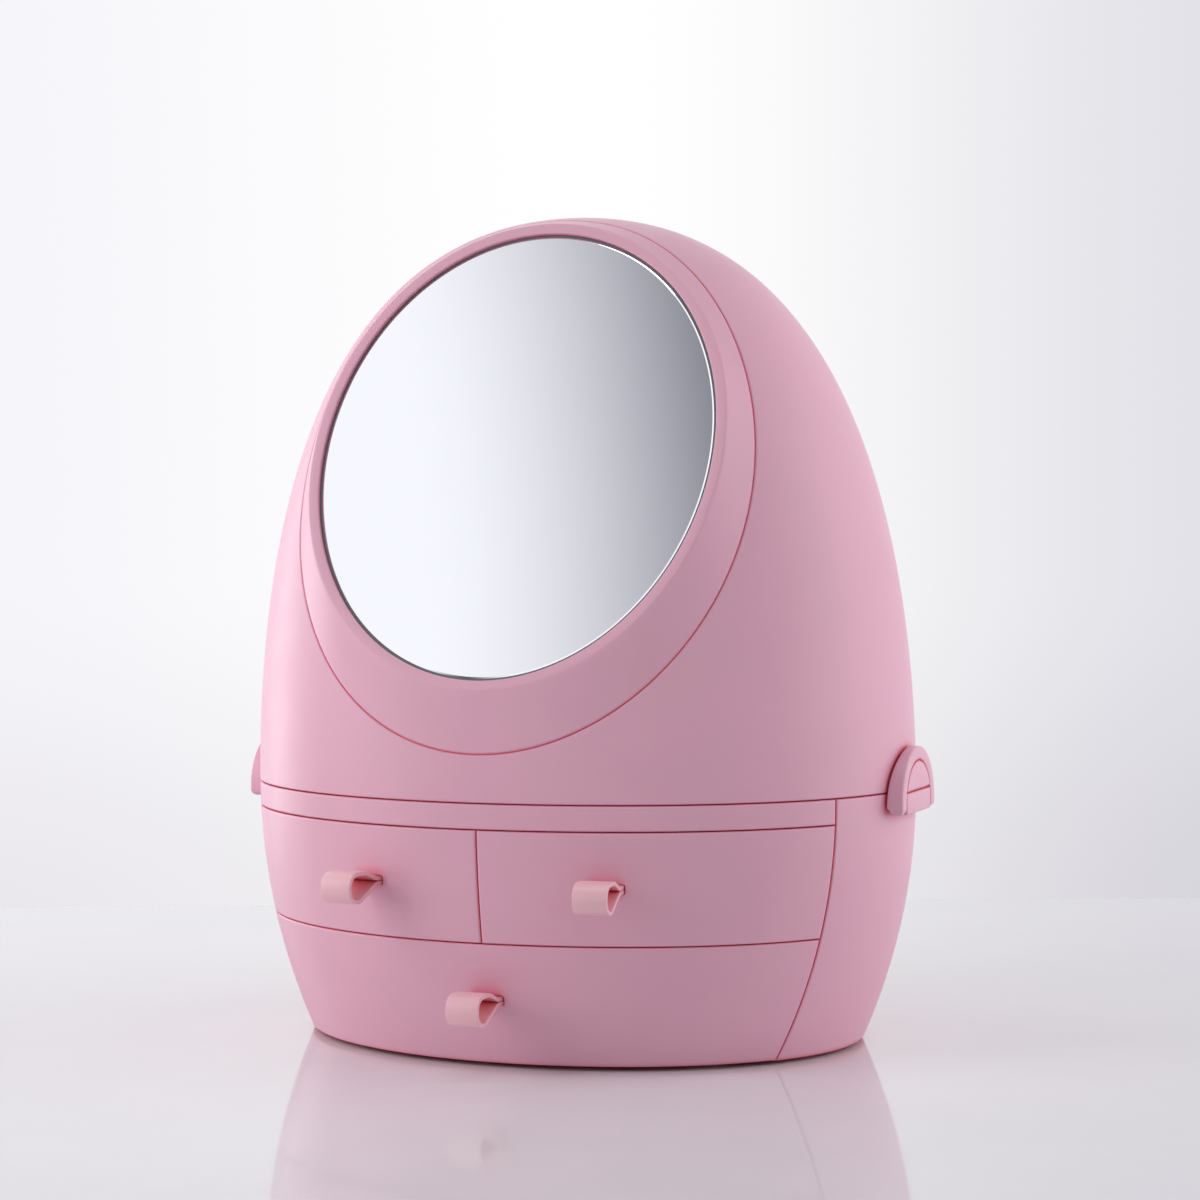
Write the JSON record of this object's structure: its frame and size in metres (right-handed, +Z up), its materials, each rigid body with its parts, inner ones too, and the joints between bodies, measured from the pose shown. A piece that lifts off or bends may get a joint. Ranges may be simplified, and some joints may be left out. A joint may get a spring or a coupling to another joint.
{
  "type": "makeup storage box with mirror",
  "caption": "Egg-shaped makeup storage box: hinged dome lid with a tilted oval mirror and light ring, drawers with soft loop pulls in the base, flip latches at the sides.",
  "frame": {"origin": "centre of the whole box on the surface that it stands on", "axes": "+Z up, -Y to the front with the mirror and drawers, +X to the viewer's right"},
  "size_m": [0.31, 0.2534, 0.3596],
  "materials": {
    "body": "satin",
    "ring": "satin",
    "latch": "satin",
    "inner": "matt",
    "tray": "satin",
    "pull": "soft matt silicone",
    "foot": "matt",
    "mirror": "polished",
    "diffuser": "milky",
    "board": "solder mask",
    "lamp": "phosphor",
    "cell": "wrapped",
    "lead": "matt",
    "steel": "plain"
  },
  "bodies": {
    "base": {"base_shell": "body", "top_deck": "body", "deck_screws": "steel", "drawer_shelf": "inner", "drawer_partition": "inner", "foot_pads": "foot", "hinge_pin": "steel", "latch_pins": "steel"},
    "dome": {"dome_shell": "body", "mirror_bezel": "ring", "mirror_glass": "mirror", "light_guide": "diffuser", "led_board": "board", "leds": "lamp", "mirror_carrier": "inner", "mirror_rear_cover": "inner", "mirror_ring_screws": "steel", "electronics_cover": "inner", "battery": "cell", "control_board": "board", "button_switch": "cell", "charge_socket": "steel", "light_lead": "lead"},
    "power_button": {"power_button": "body"},
    "latch_left": {"latch_left_clip": "latch"},
    "latch_right": {"latch_right_clip": "latch"},
    "drawer_left": {"drawer_left_front": "body", "drawer_left_box": "tray", "drawer_left_pull": "pull", "drawer_left_screws": "steel"},
    "drawer_right": {"drawer_right_front": "body", "drawer_right_box": "tray", "drawer_right_pull": "pull", "drawer_right_screws": "steel"},
    "drawer_lower": {"drawer_lower_front": "body", "drawer_lower_box": "tray", "drawer_lower_pull": "pull", "drawer_lower_screws": "steel"}
  },
  "joints": [
    {"name": "dome_hinge", "type": "hinge", "parent": "base", "child": "dome", "pos_m": [0, 0.12171, 0.1117], "axis": [-1, 0, 0], "range_deg": [0, 75]},
    {"name": "drawer_left_slide", "type": "slide", "parent": "base", "child": "drawer_left", "axis": [0, -1, 0], "range_m": [0, 0.09]},
    {"name": "drawer_right_slide", "type": "slide", "parent": "base", "child": "drawer_right", "axis": [0, -1, 0], "range_m": [0, 0.09]},
    {"name": "drawer_lower_slide", "type": "slide", "parent": "base", "child": "drawer_lower", "axis": [0, -1, 0], "range_m": [0, 0.1]},
    {"name": "latch_left_flip", "type": "hinge", "parent": "base", "child": "latch_left", "pos_m": [-0.152, 0.00271, 0.1052], "axis": [0, -1, 0], "range_deg": [0, 80]},
    {"name": "latch_right_flip", "type": "hinge", "parent": "base", "child": "latch_right", "pos_m": [0.152, 0.00271, 0.1052], "axis": [0, 1, 0], "range_deg": [0, 80]},
    {"name": "power_button_press", "type": "slide", "parent": "dome", "child": "power_button", "axis": [0, -1, 0], "range_m": [0, 0.0008], "stiffness_N_per_m": 800}
  ]
}
